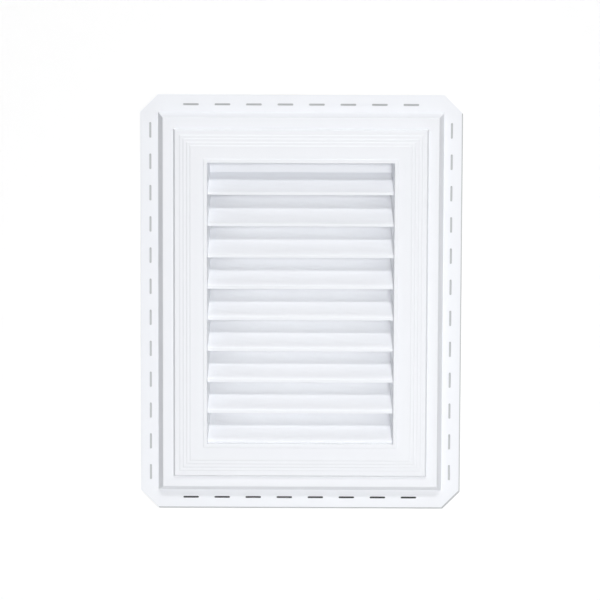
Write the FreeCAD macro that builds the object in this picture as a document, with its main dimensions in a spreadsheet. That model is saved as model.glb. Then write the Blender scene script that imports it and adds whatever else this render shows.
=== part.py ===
import FreeCAD, Part
import os
import Sketcher

# Louvred gable vent: one white plastic moulding with a nailing flange, a moulded casing, sloping
# blades and a box that goes into the wall, and the insect screen held by tabs on the back of that box.
# The front faces -Y, Z is up, and the origin is the middle of the flange's back, on the wall.

# Driving dimensions, in millimetres and degrees
SIZES = {
    # Clear opening at the front of the bead, and how far its four sides close in towards the back
    "opening_width": 302,
    "opening_height": 457,
    "jamb_draft": 5,
    # Bead round the opening
    "bead_width": 6,
    "bead_rise": 1.8,
    "bead_radius": 0.7,
    # Casing: a flat face with small sloping steps near its outer arris, and the edge below that arris
    "casing_face": 52,
    "outer_tread": 8.5,
    "tread_width": 5.6,
    "tread_rise": 0.6,
    "riser_run": 1.6,
    "casing_step": 6.5,
    "casing_inset": 3,
    "casing_radius": 0.8,
    # Flat band round the casing, and the sloping wall from it down to the flange
    "band_width": 17,
    "wall_rise": 21,
    "wall_inset": 8,
    "crown_radius": 2,
    # Nailing flange with cut corners
    "flange_width": 28.5,
    "flange_thickness": 2.4,
    "corner_cut": 28,
    # Nail slots
    "slot_length": 25.4,
    "slot_width": 3.4,
    "slot_pitch": 50.8,
    "slot_inset": 16,
    "slots_across": 8,
    "slots_down": 12,
    # Thickness of the moulding, depth of the box behind the wall's face, and the rim at its back
    "skin": 2.4,
    "box_depth": 30,
    "rim_width": 3,
    "rim_thickness": 1.8,
    # Louvre blades
    "blade_pitch": 50.8,
    "blade_slope": 45,
    "blade_thickness": 2.4,
    "blade_recess": 10,
    "blade_back_gap": 2,
    "nose_height": 4.5,
    "nose_thickness": 2.2,
    "first_drop": 52,
    "head_plate_depth": 30,
    # Insect screen, drawn as a border with bars that stand for its fine mesh, and the tabs pressed over its edge
    "screen_thickness": 0.6,
    "screen_clearance": 0.2,
    "screen_border": 9,
    "screen_bar": 5,
    "bars_across": 7,
    "bars_up": 11,
    "tab_length": 12,
    "tab_thickness": 1.4,
    "tab_lip": 2.2,
    "tab_corner_inset": 25,
    "tabs_across": 4,
    "tabs_down": 6,
}

# Number of small steps in the casing's face
RISERS = 4

doc = FreeCAD.newDocument("gable_vent")
sheet = doc.addObject("Spreadsheet::Sheet", "Sizes")
for row, (alias, value) in enumerate(SIZES.items(), start=1):
    cell = f"A{row}"
    sheet.set(cell, str(value))
    sheet.setAlias(cell, alias)
doc.recompute()


# Depths are measured back from the front of the bead

def tread_depth(steps):
    return f"(Sizes.bead_rise + {steps} * Sizes.tread_rise)"


FIELD = tread_depth(0)
CASING = tread_depth(RISERS)
BAND = f"({CASING} + Sizes.casing_step)"
WALL = f"({BAND} + Sizes.wall_rise)"
FLANGE = f"({WALL} - Sizes.flange_thickness)"
REAR = f"({WALL} + Sizes.box_depth)"
NOSE = "Sizes.blade_recess"


# Distances out from the edge of the opening

def riser_out(steps):
    return f"(Sizes.casing_face - Sizes.outer_tread - {RISERS - 1 - steps} * Sizes.tread_width)"


def jamb_out(depth):
    return f"(-{depth} * tan(Sizes.jamb_draft))"


STEP_OUT = "(Sizes.casing_face + Sizes.casing_inset)"
CROWN_OUT = f"({STEP_OUT} + Sizes.band_width)"
FOOT_OUT = f"({CROWN_OUT} + Sizes.wall_inset)"
EDGE_OUT = f"({FOOT_OUT} + Sizes.flange_width)"
RIM_OUT = f"({jamb_out(REAR)} + Sizes.skin + Sizes.rim_width)"
TAB_FOOT_OUT = f"({RIM_OUT} - Sizes.tab_thickness)"


def half_width(out):
    return f"(Sizes.opening_width / 2 + {out})"


def half_height(out):
    return f"(Sizes.opening_height / 2 + {out})"


def number(expression):
    return float(sheet.evalExpression(expression))


def new_body(name):
    return doc.addObject("PartDesign::Body", name)


def new_sketch(body, name, role, **offset):
    """A sketch on one of the body's own planes, moved in that plane's axes by expressions."""
    sketch = body.newObject("Sketcher::SketchObject", name)
    plane = next(f for f in body.Origin.OriginFeatures if f.Role == role)
    sketch.AttachmentSupport = [(plane, "")]
    sketch.MapMode = "FlatFace"
    for axis, expression in offset.items():
        sketch.setExpression(f"AttachmentOffset.Base.{axis}", expression)
    return sketch


def bind(sketch, kind, *where_and_expression):
    *where, expression = where_and_expression
    index = sketch.addConstraint(Sketcher.Constraint(kind, *where, number(expression)))
    sketch.setExpression(f"Constraints[{index}]", expression)


def place_point(sketch, geometry, point, across, up):
    """Hold one point of a sketch at two expressions from the sketch's origin."""
    bind(sketch, "DistanceX", -1, 1, geometry, point, across)
    bind(sketch, "DistanceY", -1, 1, geometry, point, up)


def draw_outline(sketch, corners):
    """A closed outline of straight lines through corners given as pairs of expressions."""
    points = [FreeCAD.Vector(number(across), number(up), 0) for across, up in corners]
    following = points[1:] + points[:1]
    lines = [sketch.addGeometry(Part.LineSegment(a, b)) for a, b in zip(points, following)]
    for line, after in zip(lines, lines[1:] + lines[:1]):
        sketch.addConstraint(Sketcher.Constraint("Coincident", line, 2, after, 1))
    for line, (across, up) in zip(lines, corners):
        place_point(sketch, line, 1, across, up)


def draw_rectangle(sketch, across, up):
    """A rectangle about the sketch's origin from its half width and half height."""
    draw_outline(sketch, [(across, up), (f"-{across}", up), (f"-{across}", f"-{up}"), (across, f"-{up}")])


def draw_slot(sketch, across, up, upright):
    """A round-ended nail slot about a middle given as a pair of expressions."""
    reach = "(Sizes.slot_length - Sizes.slot_width) / 2"
    radius = number("Sizes.slot_width / 2")
    run = FreeCAD.Vector(0, 1, 0) if upright else FreeCAD.Vector(1, 0, 0)
    side = FreeCAD.Vector(-run.y, run.x, 0) * radius
    middle = FreeCAD.Vector(number(across), number(up), 0)
    far = middle + run * number(reach)
    near = middle - run * number(reach)
    tip = run * radius
    ends = [
        sketch.addGeometry(Part.Arc(far - side, far + tip, far + side)),
        sketch.addGeometry(Part.Arc(near + side, near - tip, near - side)),
    ]
    sides = [
        sketch.addGeometry(Part.LineSegment(far + side, near + side)),
        sketch.addGeometry(Part.LineSegment(near - side, far - side)),
    ]
    sketch.addConstraint(Sketcher.Constraint("Tangent", ends[0], 2, sides[0], 1))
    sketch.addConstraint(Sketcher.Constraint("Tangent", sides[0], 2, ends[1], 1))
    sketch.addConstraint(Sketcher.Constraint("Tangent", ends[1], 2, sides[1], 1))
    sketch.addConstraint(Sketcher.Constraint("Tangent", sides[1], 2, ends[0], 1))
    for end, sign in zip(ends, "+-"):
        moved = f"{up} {sign} {reach}" if upright else f"{across} {sign} {reach}"
        place_point(sketch, end, 3, across if upright else moved, moved if upright else up)
    bind(sketch, "Radius", ends[0], "Sizes.slot_width / 2")


def add_pad(body, sketch, length, reversed_pad=False, both_ways=False):
    pad = body.newObject("PartDesign::Pad", f"{sketch.Name}_pad")
    pad.Profile = sketch
    pad.setExpression("Length", length)
    pad.Reversed = reversed_pad
    if both_ways:
        pad.SideType = "Symmetric"
    doc.recompute()
    return pad


def add_pocket(body, sketch, depth, reversed_pocket=False):
    """Cut a sketch into the body, and stop if the cut took nothing away."""
    before = body.Shape.Volume
    pocket = body.newObject("PartDesign::Pocket", f"{sketch.Name}_cut")
    pocket.Profile = sketch
    pocket.setExpression("Length", depth)
    pocket.Reversed = reversed_pocket
    doc.recompute()
    if not body.Shape.Volume < before:
        raise RuntimeError(f"{pocket.Name} cuts nothing")
    return pocket


def repeat(body, feature, role, length, copies, backwards=False):
    """Repeat a feature along one of the body's axes, over a length from its first copy to its last."""
    pattern = body.newObject("PartDesign::LinearPattern", f"{feature.Name}_row")
    pattern.Originals = [feature]
    axis = next(f for f in body.Origin.OriginFeatures if f.Role == role)
    pattern.Direction = (axis, [""])
    pattern.Reversed = backwards
    pattern.setExpression("Length", length)
    pattern.setExpression("Occurrences", copies)
    body.Tip = pattern
    doc.recompute()
    return pattern


def round_edges(body, name, outs, depths, radius):
    """Round the square rings of edges that run at given distances out from the opening, at given depths."""
    base = body.Tip
    near = 0.01
    width, height = number(half_width("0")), number(half_height("0"))
    chosen = []
    for index, edge in enumerate(base.Shape.Edges, start=1):
        for out, depth in zip(outs, depths):
            level = number(f"{depth} - {WALL}")
            ring = number(out)
            middle = edge.CenterOfMass
            on_side = abs(abs(middle.x) - width - ring) < near
            on_end = abs(abs(middle.z) - height - ring) < near
            flat = edge.BoundBox.YLength < near
            if flat and abs(middle.y - level) < near and (on_side or on_end):
                chosen.append(f"Edge{index}")
    fillet = body.newObject("PartDesign::Fillet", name)
    fillet.Base = (base, chosen)
    fillet.setExpression("Radius", radius)
    doc.recompute()
    return fillet


def hollow_corners():
    """The back of the casing in section, from the box's wall to the head of the sloping wall."""
    field_back = f"({FIELD} + Sizes.skin)"
    corners = [(f"({jamb_out(field_back)} + Sizes.skin)", field_back)]
    for steps in range(RISERS):
        behind = f"({riser_out(steps)} - Sizes.skin)"
        corners.append((behind, f"({tread_depth(steps)} + Sizes.skin)"))
        corners.append((behind, f"({tread_depth(steps + 1)} + Sizes.skin)"))
    return corners + [
        ("(Sizes.casing_face - Sizes.skin)", f"({CASING} + Sizes.skin)"),
        (f"({STEP_OUT} - Sizes.skin)", f"({BAND} + Sizes.skin)"),
        (f"({CROWN_OUT} - Sizes.skin)", f"({BAND} + Sizes.skin)"),
    ]


def section_corners():
    """The moulding's section: out from the opening's edge, and back from the bead's front."""
    outside = [
        (EDGE_OUT, WALL),
        (EDGE_OUT, FLANGE),
        (FOOT_OUT, FLANGE),
        (CROWN_OUT, BAND),
        (STEP_OUT, BAND),
        ("Sizes.casing_face", CASING),
    ]
    for steps in reversed(range(RISERS)):
        outside.append((f"({riser_out(steps)} + Sizes.riser_run)", tread_depth(steps + 1)))
        outside.append((riser_out(steps), tread_depth(steps)))
    outside += [("Sizes.bead_width", FIELD), ("Sizes.bead_width", "0"), ("0", "0")]

    rim_front = f"({REAR} - Sizes.rim_thickness)"
    box = [
        (jamb_out(REAR), REAR),
        (RIM_OUT, REAR),
        (RIM_OUT, rim_front),
        (f"({jamb_out(rim_front)} + Sizes.skin)", rim_front),
    ]
    return outside + box + hollow_corners() + [(f"({FOOT_OUT} - Sizes.skin)", WALL)]


def tab_corners():
    """A tab that stands on the rim's edge, with its lip over the screen."""
    screen_back = f"({REAR} + Sizes.screen_thickness)"
    tab_back = f"({screen_back} + Sizes.tab_thickness)"
    lip_out = f"({TAB_FOOT_OUT} - Sizes.tab_lip)"
    return [
        (RIM_OUT, REAR),
        (RIM_OUT, tab_back),
        (lip_out, tab_back),
        (lip_out, screen_back),
        (TAB_FOOT_OUT, screen_back),
        (TAB_FOOT_OUT, REAR),
    ]


def make_casing():
    """The frame of the moulding: its section carried round the opening, with slots and tabs."""
    body = new_body("casing")

    spine = new_sketch(body, "opening_edge", "XZ_Plane", z=WALL)
    right, top = half_width("0"), half_height("0")
    left, bottom = f"-{right}", f"-{top}"
    draw_outline(spine, [(right, "0"), (right, top), (left, top), (left, bottom), (right, bottom)])
    section = new_sketch(body, "frame_section", "XY_Plane", y=f"-{WALL}")
    draw_outline(section, [(half_width(out), depth) for out, depth in section_corners()])
    doc.recompute()
    frame = body.newObject("PartDesign::AdditivePipe", "frame")
    frame.Profile = section
    frame.Spine = (spine, [f"Edge{i}" for i in range(1, len(spine.Shape.Edges) + 1)])
    frame.Transition = "Right corner"
    doc.recompute()

    round_edges(body, "crown_rounding", [CROWN_OUT], [BAND], "Sizes.crown_radius")
    round_edges(body, "casing_rounding", ["Sizes.casing_face"], [CASING], "Sizes.casing_radius")
    round_edges(body, "bead_rounding", ["Sizes.bead_width", "0"], ["0", "0"], "Sizes.bead_radius")

    corners = new_sketch(body, "flange_corners", "XZ_Plane")
    for across in ("", "-"):
        for up in ("", "-"):
            edge, end = f"{across}{half_width(EDGE_OUT)}", f"{up}{half_height(EDGE_OUT)}"
            cut_across, cut_up = f"{across}Sizes.corner_cut", f"{up}Sizes.corner_cut"
            draw_outline(corners, [
                (f"{edge} - ({cut_across})", end),
                (edge, f"{end} - ({cut_up})"),
                (f"{edge} + ({cut_across})", f"{end} + ({cut_up})"),
            ])
    add_pocket(body, corners, "2 * Sizes.flange_thickness", reversed_pocket=True)

    row = "(Sizes.slots_across - 1) * Sizes.slot_pitch"
    slots = new_sketch(body, "head_and_sill_slots", "XZ_Plane")
    for up in ("", "-"):
        draw_slot(slots, f"-{row} / 2", f"{up}{half_height(f'{EDGE_OUT} - Sizes.slot_inset')}", False)
    cut = add_pocket(body, slots, "2 * Sizes.flange_thickness", reversed_pocket=True)
    repeat(body, cut, "X_Axis", row, "Sizes.slots_across")

    row = "(Sizes.slots_down - 1) * Sizes.slot_pitch"
    slots = new_sketch(body, "side_slots", "XZ_Plane")
    for across in ("", "-"):
        draw_slot(slots, f"{across}{half_width(f'{EDGE_OUT} - Sizes.slot_inset')}", f"-{row} / 2", True)
    cut = add_pocket(body, slots, "2 * Sizes.flange_thickness", reversed_pocket=True)
    repeat(body, cut, "Z_Axis", row, "Sizes.slots_down")

    add_tabs(body)
    return body


def add_tabs(body):
    """Four rows of tabs: along the head and sill of the rim, and up its two sides."""
    reach = half_width("-Sizes.tab_corner_inset")
    across = new_sketch(body, "tab_across", "YZ_Plane", x=f"-{WALL}", z=f"-{reach}")
    for sign in ("", "-"):
        draw_outline(across, [(depth, f"{sign}{half_height(out)}") for out, depth in tab_corners()])
    first = add_pad(body, across, "Sizes.tab_length", both_ways=True)
    repeat(body, first, "X_Axis", f"2 * {reach}", "Sizes.tabs_across")

    reach = half_height("-Sizes.tab_corner_inset")
    down = new_sketch(body, "tab_down", "XY_Plane", y=f"-{WALL}", z=f"-{reach}")
    for sign in ("", "-"):
        draw_outline(down, [(f"{sign}{half_width(out)}", depth) for out, depth in tab_corners()])
    first = add_pad(body, down, "Sizes.tab_length", both_ways=True)
    repeat(body, first, "Z_Axis", f"2 * {reach}", "Sizes.tabs_down")


def blade_rise(depth):
    return f"(Sizes.nose_height + ({depth} - {NOSE}) * tan(Sizes.blade_slope))"


def make_louvres():
    """The bank of blades, the top one turned up into the head, cut to the tapering opening."""
    body = new_body("louvre_bank")
    slant = "Sizes.blade_thickness / cos(Sizes.blade_slope)"
    nose_back = f"({NOSE} + Sizes.nose_thickness)"
    nose = [(NOSE, "0"), (NOSE, "Sizes.nose_height")]
    nose_inside = [(nose_back, f"{blade_rise(nose_back)} - {slant}"), (nose_back, "0")]
    span = "Sizes.opening_width + 2 * Sizes.skin"
    nose_level = "Sizes.opening_height / 2 - Sizes.first_drop"

    plate = f"({NOSE} + Sizes.head_plate_depth)"
    plate_back = f"({plate} + Sizes.blade_thickness)"
    plate_top = "Sizes.first_drop + Sizes.skin"
    head_blade = new_sketch(body, "head_blade", "YZ_Plane", x=f"-{WALL}", y=nose_level)
    draw_outline(head_blade, nose + [
        (plate, blade_rise(plate)),
        (plate, plate_top),
        (plate_back, plate_top),
        (plate_back, f"{blade_rise(plate_back)} - {slant}"),
    ] + nose_inside)
    add_pad(body, head_blade, span, both_ways=True)

    back = f"({REAR} - Sizes.blade_back_gap)"
    blade = new_sketch(body, "blade", "YZ_Plane", x=f"-{WALL}", y=f"{nose_level} - Sizes.blade_pitch")
    tail = [(back, blade_rise(back)), (back, f"{blade_rise(back)} - {slant}")]
    draw_outline(blade, nose + tail + nose_inside)
    pad = add_pad(body, blade, span, both_ways=True)
    blades = "ceil((Sizes.opening_height - Sizes.first_drop) / Sizes.blade_pitch)"
    repeat(body, pad, "Z_Axis", f"({blades} - 1) * Sizes.blade_pitch", blades, backwards=True)

    # The opening's taper, half a skin into the jambs, so that each blade's end is rooted in them
    taper = doc.addObject("Part::Wedge", "opening_taper")
    front_grow, back_grow = "Sizes.skin / 2", f"(Sizes.skin / 2 + {jamb_out(REAR)})"
    taper.setExpression("Ymin", f"-{WALL}")
    taper.setExpression("Ymax", "Sizes.box_depth")
    for end, grow in (("", front_grow), ("2", back_grow)):
        taper.setExpression(f"X{end}min", f"-{half_width(grow)}")
        taper.setExpression(f"X{end}max", half_width(grow))
        taper.setExpression(f"Z{end}min", f"-{half_height(grow)}")
        taper.setExpression(f"Z{end}max", half_height(grow))
    blades = doc.addObject("Part::Common", "louvres")
    blades.Base = body
    blades.Tool = taper
    doc.recompute()
    return blades


def make_vent_body():
    moulding = doc.addObject("Part::Fuse", "moulding")
    moulding.Base = make_casing()
    moulding.Tool = make_louvres()
    moulding.Refine = True
    moulding.Label = "vent_body"
    doc.recompute()
    return moulding


def add_bars(body, upright, count, across, up):
    """A row of bars across the screen's inside, whose half width and half height are given."""
    over, along = (across, up) if upright else (up, across)
    gap = f"((2 * {over} - {count} * Sizes.screen_bar) / ({count} + 1))"
    pitch = f"({gap} + Sizes.screen_bar)"
    first = f"(-{over} + {gap})"
    sides = [(first, along), (first, f"-{along}")]
    sides += [(f"({first} + Sizes.screen_bar)", f"-{along}"), (f"({first} + Sizes.screen_bar)", along)]
    bar = new_sketch(body, "upright_bar" if upright else "level_bar", "XZ_Plane", z="-Sizes.box_depth")
    draw_outline(bar, [side if upright else side[::-1] for side in sides])
    pad = add_pad(body, bar, "Sizes.screen_thickness", reversed_pad=True)
    repeat(body, pad, "X_Axis" if upright else "Z_Axis", f"({count} - 1) * {pitch}", count)


def make_screen():
    """The insect screen: a thin sheet on the rim of the box, under the lips of the tabs."""
    body = new_body("screen")
    sheet_edge = f"({TAB_FOOT_OUT} - Sizes.screen_clearance)"
    inside = f"({sheet_edge} - Sizes.screen_border)"
    border = new_sketch(body, "screen_border", "XZ_Plane", z="-Sizes.box_depth")
    for out in (sheet_edge, inside):
        draw_rectangle(border, half_width(out), half_height(out))
    add_pad(body, border, "Sizes.screen_thickness", reversed_pad=True)
    add_bars(body, True, "Sizes.bars_across", half_width(inside), half_height(inside))
    add_bars(body, False, "Sizes.bars_up", half_width(inside), half_height(inside))
    body.Label = "insect_screen"
    return body


pieces = [make_vent_body(), make_screen()]

failed = [o.Name for o in doc.Objects if "Invalid" in o.State or "Error" in o.State]
if failed:
    raise RuntimeError(f"these did not build: {failed}")
for piece in pieces:
    if piece.Shape.isNull() or not piece.Shape.isValid() or len(piece.Shape.Solids) != 1:
        raise RuntimeError(f"{piece.Label} is not one sound solid")

os.makedirs("parts", exist_ok=True)
for piece in pieces:
    piece.Shape.exportStep(f"parts/{piece.Label}.step")
    box = piece.Shape.BoundBox
    print(f"{piece.Label}: {piece.Shape.Volume / 1000:.1f} cm3, {len(piece.Shape.Faces)} faces, "
          f"{box.XLength:.1f} x {box.YLength:.1f} x {box.ZLength:.1f} mm")
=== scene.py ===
import math

import bpy
from mathutils import Matrix, Vector


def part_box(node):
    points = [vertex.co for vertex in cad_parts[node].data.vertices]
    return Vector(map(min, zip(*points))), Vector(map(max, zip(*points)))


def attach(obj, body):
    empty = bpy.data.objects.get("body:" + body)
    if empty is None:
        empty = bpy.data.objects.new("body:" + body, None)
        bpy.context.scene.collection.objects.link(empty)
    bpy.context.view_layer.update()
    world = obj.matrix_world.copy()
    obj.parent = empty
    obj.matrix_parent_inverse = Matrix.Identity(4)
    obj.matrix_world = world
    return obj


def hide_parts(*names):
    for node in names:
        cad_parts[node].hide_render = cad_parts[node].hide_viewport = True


# Looks of the gable vent: white moulded plastic, a fine mesh behind the blades and a pale studio.
# Everything is in metres, in the frame of the solids: the front faces -Y and the wall's face is y = 0.

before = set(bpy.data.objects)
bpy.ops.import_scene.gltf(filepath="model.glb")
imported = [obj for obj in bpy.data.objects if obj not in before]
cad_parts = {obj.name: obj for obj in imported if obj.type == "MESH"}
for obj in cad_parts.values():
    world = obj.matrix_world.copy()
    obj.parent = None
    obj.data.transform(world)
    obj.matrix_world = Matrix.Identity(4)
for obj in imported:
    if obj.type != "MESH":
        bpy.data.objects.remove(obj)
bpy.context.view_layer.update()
mm = 0.001
white = (1.0, 1.0, 1.0)
print("frame loaded:", ", ".join(sorted(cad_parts)))


# small helpers for objects, materials and node trees

def addObject(name, data):
    made = bpy.data.objects.new(name, data)
    bpy.context.scene.collection.objects.link(made)
    return made


def newMaterial(name):
    material = bpy.data.materials.new(name)
    material.use_nodes = True
    tree = material.node_tree
    return material, tree, tree.nodes["Principled BSDF"]


def opaque(colour):
    return (*colour, 1.0)


def addNode(tree, kind, **values):
    node = tree.nodes.new(kind)
    for name, value in values.items():
        setattr(node, name, value)
    return node


def setInputs(node, values):
    for name, value in values.items():
        node.inputs[name].default_value = value


def wire(tree, source, target):
    tree.links.new(source, target)


def feed(tree, value, socket):
    # another node's output is wired in, and anything else is set
    if isinstance(value, bpy.types.NodeSocket):
        wire(tree, value, socket)
    else:
        socket.default_value = value


def mathNode(tree, operation, *values):
    node = addNode(tree, "ShaderNodeMath", operation=operation)
    for socket, value in zip(node.inputs, values):
        feed(tree, value, socket)
    return node.outputs[0]


mixFirst, mixSecond, mixResult = 6, 7, 2    # colour sockets of a Mix node, where several share a name


def mixColours(tree, factor, first, second):
    node = addNode(tree, "ShaderNodeMix", data_type="RGBA")
    wire(tree, factor, node.inputs["Factor"])
    feed(tree, first, node.inputs[mixFirst])
    feed(tree, second, node.inputs[mixSecond])
    return node.outputs[mixResult]


def spread(tree, value, low, high):
    node = addNode(tree, "ShaderNodeMapRange")
    wire(tree, value, node.inputs["Value"])
    setInputs(node, {"To Min": low, "To Max": high})
    return node.outputs["Result"]


def noiseNode(tree, coordinates, scale, detail):
    node = addNode(tree, "ShaderNodeTexNoise")
    setInputs(node, {"Detail": detail})
    wire(tree, coordinates, node.inputs["Vector"])
    wire(tree, scale, node.inputs["Scale"])
    return node.outputs["Fac"]


def bumpNode(tree, height, strength, depth):
    node = addNode(tree, "ShaderNodeBump")
    setInputs(node, {"Strength": strength, "Distance": depth})
    wire(tree, height, node.inputs["Height"])
    return node


def addSockets(tree, inOut, names, kind="NodeSocketFloat"):
    for name in names:
        tree.interface.new_socket(name, in_out=inOut, socket_type=kind)


def newGroup(name, inputs, outputs):
    group = bpy.data.node_groups.new(name, "ShaderNodeTree")
    addSockets(group, "INPUT", inputs)
    addSockets(group, "OUTPUT", outputs)
    return group, addNode(group, "NodeGroupInput"), addNode(group, "NodeGroupOutput")


def placeGroup(tree, group, **values):
    node = addNode(tree, "ShaderNodeGroup", node_tree=group)
    setInputs(node, values)
    return node


# surface effects that the plastic and the mesh share

noiseDetail = {
    "pebble": 3.0,               # fine texture of the tool's face
    "drift": 2.0,                # slow drift of tone and of flatness
    "patches": 4.0,              # where dust gathers
}


def mouldedGrain():
    group, given, made = newGroup("mouldedGrain", ["Grain", "Waves"], ["Height", "Tone", "Gloss"])
    place = addNode(group, "ShaderNodeTexCoord").outputs["Object"]
    pebble = noiseNode(group, place, given.outputs["Grain"], noiseDetail["pebble"])
    drift = noiseNode(group, place, given.outputs["Waves"], noiseDetail["drift"])
    mean = mathNode(group, "MULTIPLY", mathNode(group, "ADD", pebble, drift), 0.5)
    wire(group, pebble, made.inputs["Height"])
    wire(group, drift, made.inputs["Tone"])
    wire(group, mean, made.inputs["Gloss"])
    return group


def settledDust():
    group, given, made = newGroup("settledDust", ["Amount", "Patches"], ["Mask"])
    place = addNode(group, "ShaderNodeTexCoord")
    facing = addNode(group, "ShaderNodeSeparateXYZ")
    wire(group, place.outputs["Normal"], facing.inputs[0])
    upward = mathNode(group, "MAXIMUM", facing.outputs["Z"], 0.0)   # dust lies on what faces up
    patches = noiseNode(group, place.outputs["Object"], given.outputs["Patches"], noiseDetail["patches"])
    lying = mathNode(group, "MULTIPLY", upward, patches)
    wire(group, mathNode(group, "MULTIPLY", lying, given.outputs["Amount"]), made.inputs["Mask"])
    return group


grainGroup, dustGroup = mouldedGrain(), settledDust()


# one material: two near tones, dust, uneven gloss, and a fine bump on slow waves

def finish(name, look):
    material, tree, shader = newMaterial(name)
    grain = placeGroup(tree, grainGroup, Grain=look["grain"], Waves=look["waves"])
    dust = placeGroup(tree, dustGroup, Amount=look["dust"], Patches=look["patches"])
    body = mixColours(tree, grain.outputs["Tone"], opaque(look["colour"]), opaque(look["otherColour"]))
    dusty = mixColours(tree, dust.outputs["Mask"], body, opaque(look["dustColour"]))
    waves = bumpNode(tree, grain.outputs["Tone"], look["waveStrength"], look["waveDepth"])
    bump = bumpNode(tree, grain.outputs["Height"], look["bumpStrength"], look["bumpDepth"])
    wire(tree, waves.outputs["Normal"], bump.inputs["Normal"])
    wire(tree, dusty, shader.inputs["Base Color"])
    wire(tree, spread(tree, grain.outputs["Gloss"], *look["roughness"]), shader.inputs["Roughness"])
    wire(tree, bump.outputs["Normal"], shader.inputs["Normal"])
    setInputs(shader, {"IOR": look["ior"]})
    return material


plasticLook = {
    "colour": (0.880, 0.897, 0.936),
    "otherColour": (0.898, 0.913, 0.948),
    "dustColour": (0.62, 0.60, 0.56),
    "dust": 0.05,
    "patches": 35.0,             # this, the grain and the waves are in lumps per metre
    "roughness": (0.34, 0.50),
    "grain": 900.0,
    "waves": 14.0,
    "waveStrength": 0.10,
    "waveDepth": 0.6 * mm,
    "bumpStrength": 0.12,
    "bumpDepth": 0.05 * mm,
    "ior": 1.49,
}
whitePlastic = finish("whitePlastic", plasticLook)
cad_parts["vent_body"].data.materials.clear()
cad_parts["vent_body"].data.materials.append(whitePlastic)
print("plastic on the moulding")


# the insect screen: two crossed layers of fibre, bonded where they cross

screenLook = {
    "colour": (0.050, 0.053, 0.055),
    "otherColour": (0.085, 0.088, 0.090),
    "dustColour": (0.42, 0.40, 0.37),
    "dust": 0.35,
    "patches": 25.0,
    "roughness": (0.45, 0.75),
    "grain": 3000.0,
    "waves": 60.0,
    "waveStrength": 0.1,
    "waveDepth": 0.05 * mm,
    "bumpStrength": 0.3,
    "bumpDepth": 0.03 * mm,
    "ior": 1.5,
}
screenSizes = {
    "Pitch Across": 1.41 * mm,   # 18 strands to the inch
    "Pitch Up": 1.59 * mm,       # 16 strands to the inch
    "Strand": 0.31 * mm,         # a little over half the sheet, so the two layers meet
}
strandSides = 6


def strandRow(tree, count, pitch, along, depth, radius, length):
    # a row of straight strands: upright ones are set out along X, level ones along Z
    reach = mathNode(tree, "MULTIPLY", mathNode(tree, "SUBTRACT", count, 1.0), pitch)
    start = addNode(tree, "ShaderNodeCombineXYZ")
    wire(tree, mathNode(tree, "MULTIPLY", reach, -0.5), start.inputs[along])
    wire(tree, depth, start.inputs["Y"])
    step = addNode(tree, "ShaderNodeCombineXYZ")
    wire(tree, pitch, step.inputs[along])
    row = addNode(tree, "GeometryNodeMeshLine")
    wire(tree, count, row.inputs["Count"])
    wire(tree, start.outputs[0], row.inputs["Start Location"])
    wire(tree, step.outputs[0], row.inputs["Offset"])
    rod = addNode(tree, "GeometryNodeMeshCylinder")
    setInputs(rod, {"Vertices": strandSides})
    wire(tree, radius, rod.inputs["Radius"])
    wire(tree, length, rod.inputs["Depth"])
    turned = addNode(tree, "GeometryNodeTransform")
    setInputs(turned, {"Rotation": (0, math.radians(90) if along == "Z" else 0, 0)})
    wire(tree, rod.outputs["Mesh"], turned.inputs["Geometry"])
    copies = addNode(tree, "GeometryNodeInstanceOnPoints")
    wire(tree, row.outputs["Mesh"], copies.inputs["Points"])
    wire(tree, turned.outputs["Geometry"], copies.inputs["Instance"])
    return copies.outputs["Instances"]


def meshTree(material):
    tree = bpy.data.node_groups.new("insectMesh", "GeometryNodeTree")
    addSockets(tree, "INPUT", ("Width", "Height", "Front", "Back", *screenSizes))
    addSockets(tree, "OUTPUT", ["Geometry"], "NodeSocketGeometry")
    given = addNode(tree, "NodeGroupInput").outputs
    made = addNode(tree, "NodeGroupOutput")
    across, up = given["Pitch Across"], given["Pitch Up"]
    acrossCount = mathNode(tree, "FLOOR", mathNode(tree, "DIVIDE", given["Width"], across))
    upCount = mathNode(tree, "FLOOR", mathNode(tree, "DIVIDE", given["Height"], up))
    radius = mathNode(tree, "MULTIPLY", given["Strand"], 0.5)
    frontLayer = mathNode(tree, "ADD", given["Front"], radius)
    backLayer = mathNode(tree, "SUBTRACT", given["Back"], radius)
    upright = strandRow(tree, acrossCount, across, "X", frontLayer, radius, given["Height"])
    level = strandRow(tree, upCount, up, "Z", backLayer, radius, given["Width"])
    joined = addNode(tree, "GeometryNodeJoinGeometry")
    for strands in (upright, level):
        wire(tree, strands, joined.inputs[0])
    real = addNode(tree, "GeometryNodeRealizeInstances")
    wire(tree, joined.outputs[0], real.inputs[0])
    painted = addNode(tree, "GeometryNodeSetMaterial")
    setInputs(painted, {"Material": material})
    wire(tree, real.outputs[0], painted.inputs["Geometry"])
    wire(tree, painted.outputs["Geometry"], made.inputs["Geometry"])
    return tree


def treeToMesh(name, tree, values):
    # run the tree on an empty object and keep its result as a plain mesh
    carrier = addObject(name, bpy.data.meshes.new(name + "Carrier"))
    modifier = carrier.modifiers.new("tree", "NODES")
    modifier.node_group = tree
    for item in tree.interface.items_tree:
        if item.in_out == "INPUT":
            modifier[item.identifier] = values[item.name]
    evaluated = carrier.evaluated_get(bpy.context.evaluated_depsgraph_get())
    mesh = bpy.data.meshes.new_from_object(evaluated)
    carrier.modifiers.remove(modifier)
    carrier.data = mesh
    mesh.name = name
    return carrier


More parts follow.
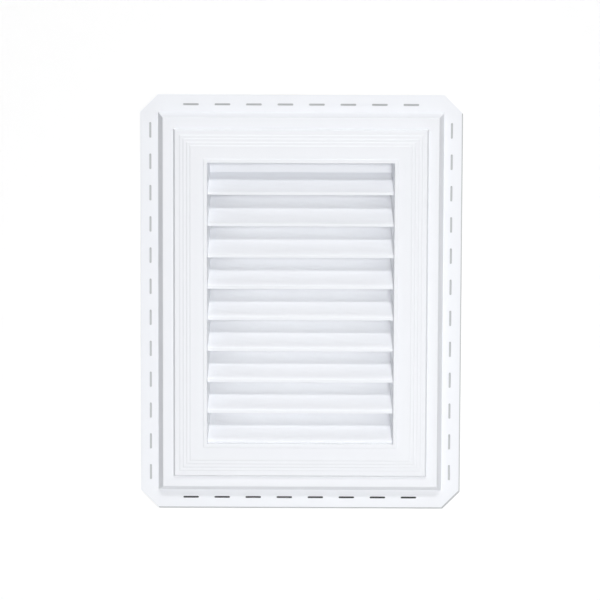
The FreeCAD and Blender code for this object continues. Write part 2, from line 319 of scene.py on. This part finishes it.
def makeScreen():
    low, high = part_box("insect_screen")
    seat = {"Width": high.x - low.x, "Height": high.z - low.z, "Front": low.y, "Back": high.y}
    fibre = finish("screenFibre", screenLook)
    piece = treeToMesh("screen_mesh", meshTree(fibre), {**seat, **screenSizes})
    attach(piece, "root")
    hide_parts("insect_screen")
    print("screen mesh:", len(piece.data.polygons), "faces")


makeScreen()


# stage: a pale board behind the flange, and between the two a grey sheet of painted shade and a dark
# strip of painted shade, which all show only from the front, and a pale floor

stageSizes = {
    "boardGap": 0.6 * mm,        # behind the flange's back, as are the sheet's and the strip's
    "boardHalfWidth": 4.0,
    "boardTop": 3.0,
    "boardColour": (0.96, 0.96, 0.96),
    "boardGlow": 0.12,
    "hole": (0.215, 0.292),      # half sizes of the hole that the box goes through, behind the casing
    "sheetGap": 0.3 * mm,
    "sheetShadowDrop": (2.0 * mm, -2.5 * mm),    # a painted shadow of the flange, showing as a thin line to the right of it and below it
    # the sheet's grey is painted shade, seen through the slots and as the flange's painted shadow line
    "sheetShadeColour": (0.57, 0.58, 0.59),
    "sheetCorner": 28 * mm,
    "stripGap": 0.15 * mm,
    "stripReach": 0.21,          # each way from the middle, behind the bottom row of slots
    "stripLift": 2.5 * mm,       # above the flange's lower edge
    # near black: painted deep shade seen through the bottom row of slots
    "stripShadeColour": (0.09, 0.09, 0.09),
    "floorLevel": -0.53,
    "floorHalf": 7.0,
    "floorColour": (0.86, 0.86, 0.86),
    "roughness": 0.9,
}


def mattMaterial(name, colour, glow=0.0, oneSided=True):
    material, tree, shader = newMaterial(name)
    setInputs(shader, {
        "Base Color": opaque(colour),
        "Roughness": stageSizes["roughness"],
        "Specular IOR Level": 0.0,
        "Emission Color": opaque(white),
        "Emission Strength": glow,
    })
    if oneSided:
        side = addNode(tree, "ShaderNodeNewGeometry").outputs["Backfacing"]
        clear = addNode(tree, "ShaderNodeBsdfTransparent").outputs["BSDF"]
        mixed = addNode(tree, "ShaderNodeMixShader")
        for source, socket in zip((side, shader.outputs["BSDF"], clear), mixed.inputs):
            wire(tree, source, socket)
        wire(tree, mixed.outputs["Shader"], tree.nodes["Material Output"].inputs["Surface"])
    return material


def stagePlane(name, corners, faces, material):
    mesh = bpy.data.meshes.new(name)
    mesh.from_pydata([Vector(c) for c in corners], [], faces)
    mesh.materials.append(material)
    plane = addObject(name, mesh)
    return plane


def cameraOnly(plane):
    # it neither casts a shadow nor throws light on the vent
    plane.visible_shadow = False
    plane.visible_diffuse = False
    plane.visible_glossy = False


def behindFlange(name, outline, hole, gap, material):
    # an upright sheet between an outline and a hole of as many points
    count = len(outline)
    corners = [(x, gap, z) for x, z in (*outline, *hole)]
    faces = [(i, (i + 1) % count, count + (i + 1) % count, count + i) for i in range(count)]
    cameraOnly(stagePlane(name, corners, faces, material))


def ring(left, right, bottom, top):
    return [(left, bottom), (right, bottom), (right, top), (left, top)]


def cutCorners(points, cut):
    # each corner of a ring becomes two points
    (left, bottom), (right, _), (_, top), _ = points
    return [
        (left, bottom + cut), (left + cut, bottom), (right - cut, bottom), (right, bottom + cut),
        (right, top - cut), (right - cut, top), (left + cut, top), (left, top - cut),
    ]


def makeStage(sizes):
    half, top, level = sizes["boardHalfWidth"], sizes["boardTop"], sizes["floorLevel"]
    holeAcross, holeUp = sizes["hole"]
    hole = ring(-holeAcross, holeAcross, -holeUp, holeUp)
    board = mattMaterial("paleBoard", sizes["boardColour"], sizes["boardGlow"])
    behindFlange("board", ring(-half, half, level, top), hole, sizes["boardGap"], board)

    low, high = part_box("vent_body")
    # a grey sheet of painted shade behind the flange: it darkens the slots and peeks out below and right
    # as a painted shadow
    dropAcross, dropUp = sizes["sheetShadowDrop"]
    edge = ring(low.x + dropAcross, high.x + dropAcross, low.z + dropUp, high.z + dropUp)
    cutEdge = cutCorners(edge, sizes["sheetCorner"])
    cutHole = cutCorners(hole, 0.0)
    shade = mattMaterial("sheetShade", sizes["sheetShadeColour"])
    behindFlange("paintedShadeSheet", cutEdge, cutHole, sizes["sheetGap"], shade)

    # a dark strip of painted deep shade behind the bottom row of slots
    reach, bottom = sizes["stripReach"], low.z + sizes["stripLift"]
    strip = [(x, sizes["stripGap"], z) for x, z in ring(-reach, reach, bottom, -holeUp)]
    dark = mattMaterial("stripShade", sizes["stripShadeColour"])
    cameraOnly(stagePlane("slotShadeStrip", strip, [range(len(strip))], dark))

    floorHalf = sizes["floorHalf"]
    floor = [(x, y, level) for x, y in ring(-floorHalf, floorHalf, -floorHalf, floorHalf)]
    pale = mattMaterial("paleFloor", sizes["floorColour"], oneSided=False)
    stagePlane("floor", floor, [range(len(floor))], pale)


makeStage(stageSizes)


# studio light

suns = {
    # name: azimuth from the front towards +X, elevation, strength, softness; angles in degrees
    "keySun": (7.0, 46.0, 0.94, 8.0),
    "overheadSun": (5.0, 87.0, 0.70, 8.0),
    "frontSun": (7.0, 7.0, 1.12, 12.0),
    "backSun": (200.0, 15.0, 1.5, 40.0),
}
softboxes = {
    # name: place, width, height, power, spread in degrees, colour
    "topBox": ((0.2, -0.8, 2.0), 1.6, 1.6, 5.8, 180.0, white),
    "lowBox": ((0.30, -1.15, -0.30), 0.8, 0.4, 0.45, 110.0, white),
    # lifts the shade between the blades, and is a little warm to keep it neutral
    "backBox": ((0.0, 0.15, 0.015), 0.27, 0.43, 0.29, 30.0, (1.0, 0.98, 0.91)),
}
skyLook = {"lighting": 0.02, "shown": 0.96}


def addLight(name, kind, power, towards):
    # a light shines along its own -Z, so its Z is turned to where the light comes from
    light = bpy.data.lights.new(name, kind)
    light.energy = power
    lamp = addObject(name, light)
    lamp.rotation_euler = Vector(towards).to_track_quat("Z", "Y").to_euler()
    return lamp, light


def addSun(name, azimuth, elevation, strength, softness):
    turn, tilt = math.radians(azimuth), math.radians(elevation)
    towards = (math.sin(turn) * math.cos(tilt), -math.cos(turn) * math.cos(tilt), math.sin(tilt))
    _, light = addLight(name, "SUN", strength, towards)
    light.angle = math.radians(softness)


def addSoftbox(name, place, width, height, power, spreadAngle, colour):
    # a softbox faces the middle of the vent
    box, light = addLight(name, "AREA", power, place)
    light.shape = "RECTANGLE"
    light.size, light.size_y = width, height
    light.color = colour
    light.spread = math.radians(spreadAngle)
    box.visible_camera = False
    box.location = place


def makeSky(look):
    # an even pale light from all round; the camera itself sees a brighter sky
    world = bpy.data.worlds.new("studioSky")
    bpy.context.scene.world = world
    world.use_nodes = True
    tree = world.node_tree
    seen = addNode(tree, "ShaderNodeLightPath").outputs["Is Camera Ray"]
    strength = spread(tree, seen, look["lighting"], look["shown"])
    wire(tree, strength, tree.nodes["Background"].inputs["Strength"])
    setInputs(tree.nodes["Background"], {"Color": opaque(white)})


for name, values in suns.items():
    addSun(name, *values)
for name, values in softboxes.items():
    addSoftbox(name, *values)
makeSky(skyLook)
print("stage and light set")


# camera at the photograph's angle

cameraSizes = {
    "elevation": 6.5,            # degrees, as the roll
    "distance": 5.0,
    "lens": 184.6,               # millimetres, as the sensor
    "sensorWidth": 36.0,
    "roll": 0.2,
    "aim": (-0.0008, 0.0, 0.0036),
}


def makeCamera(sizes):
    data = bpy.data.cameras.new("camera")
    data.lens = sizes["lens"]
    data.sensor_width = sizes["sensorWidth"]
    camera = addObject("camera", data)
    tilt = math.radians(sizes["elevation"])
    back = Vector((0, -math.cos(tilt), math.sin(tilt)))
    upright = (-back).to_track_quat("-Z", "Y").to_matrix()
    rolled = upright @ Matrix.Rotation(math.radians(sizes["roll"]), 3, "Z")
    camera.location = Vector(sizes["aim"]) + back * sizes["distance"]
    camera.rotation_euler = rolled.to_euler()
    bpy.context.scene.camera = camera


makeCamera(cameraSizes)
bpy.context.scene.view_settings.view_transform = "Standard"
bpy.context.scene.cycles.use_denoising = True
